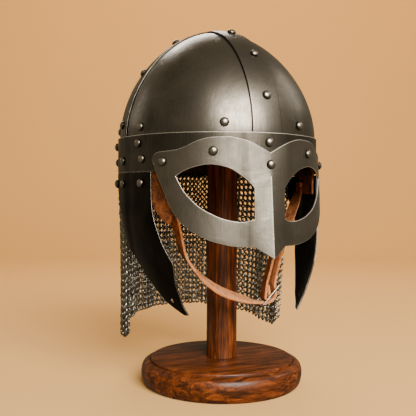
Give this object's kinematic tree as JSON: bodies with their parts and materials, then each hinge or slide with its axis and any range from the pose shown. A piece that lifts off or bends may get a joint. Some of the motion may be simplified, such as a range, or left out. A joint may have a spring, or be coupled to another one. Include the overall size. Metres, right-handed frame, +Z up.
{
  "type": "spectacle guard helmet on wooden display stand",
  "caption": "Riveted steel helmet with a spectacle guard, cheek plates, a mail curtain and a leather chin strap, held on a turned wooden display stand.",
  "frame": {"origin": "centre of the stand base's flat underside", "axes": "+Z up, the helmet faces -Y, the wearer's right is -X"},
  "size_m": [0.2174, 0.2532, 0.3788],
  "materials": {
    "bowl_steel": "burnished dark steel",
    "guard_steel": "brushed bright steel",
    "rivet_steel": "polished round heads",
    "mail_steel": "blackened steel wire",
    "wire_steel": "bright bent wire",
    "liner_leather": "dark brown, worn",
    "flap_leather": "orange-brown, mottled",
    "strap_leather": "tan, dark grain side",
    "stained_wood": "dark red-brown stain, gloss varnish"
  },
  "bodies": {
    "root": {"skull_panel_front_right": "bowl_steel", "skull_panel_front_left": "bowl_steel", "skull_panel_back_right": "bowl_steel", "skull_panel_back_left": "bowl_steel", "crest_band": "bowl_steel", "side_band_right": "bowl_steel", "side_band_left": "bowl_steel", "brow_band": "bowl_steel", "cheek_plate_right": "bowl_steel", "cheek_plate_left": "bowl_steel", "spectacle_guard": "guard_steel", "mail_curtain": "mail_steel", "strap_slide": "wire_steel", "strap_slide_bar": "wire_steel", "liner_band": "liner_leather", "cheek_flap_right": "flap_leather", "cheek_flap_left": "flap_leather", "chin_strap_right": "strap_leather", "chin_strap_left": "strap_leather", "stand_base": "stained_wood", "stand_post": "stained_wood", "rivet_brow_left_1": "rivet_steel", "rivet_brow_left_2": "rivet_steel", "rivet_brow_left_3": "rivet_steel", "rivet_brow_left_4": "rivet_steel", "rivet_brow_middle_1": "rivet_steel", "rivet_brow_middle_2": "rivet_steel", "rivet_brow_right_1": "rivet_steel", "rivet_brow_right_2": "rivet_steel", "rivet_brow_right_3": "rivet_steel", "rivet_brow_right_4": "rivet_steel", "rivet_cheek_left_1": "rivet_steel", "rivet_cheek_left_2": "rivet_steel", "rivet_cheek_left_3": "rivet_steel", "rivet_cheek_right_1": "rivet_steel", "rivet_cheek_right_2": "rivet_steel", "rivet_cheek_right_3": "rivet_steel", "rivet_crest_back_1": "rivet_steel", "rivet_crest_back_2": "rivet_steel", "rivet_crest_back_3": "rivet_steel", "rivet_crest_front_1": "rivet_steel", "rivet_crest_front_2": "rivet_steel", "rivet_crest_front_3": "rivet_steel", "rivet_guard_left_1": "rivet_steel", "rivet_guard_left_2": "rivet_steel", "rivet_guard_right_1": "rivet_steel", "rivet_guard_right_2": "rivet_steel", "rivet_nose": "rivet_steel", "rivet_panel_left_1": "rivet_steel", "rivet_panel_left_2": "rivet_steel", "rivet_panel_left_3": "rivet_steel", "rivet_panel_right_1": "rivet_steel", "rivet_panel_right_2": "rivet_steel", "rivet_panel_right_3": "rivet_steel", "rivet_side_left_1": "rivet_steel", "rivet_side_left_2": "rivet_steel", "rivet_side_left_3": "rivet_steel", "rivet_side_right_1": "rivet_steel", "rivet_side_right_2": "rivet_steel", "rivet_side_right_3": "rivet_steel"}
  },
  "joints": []
}
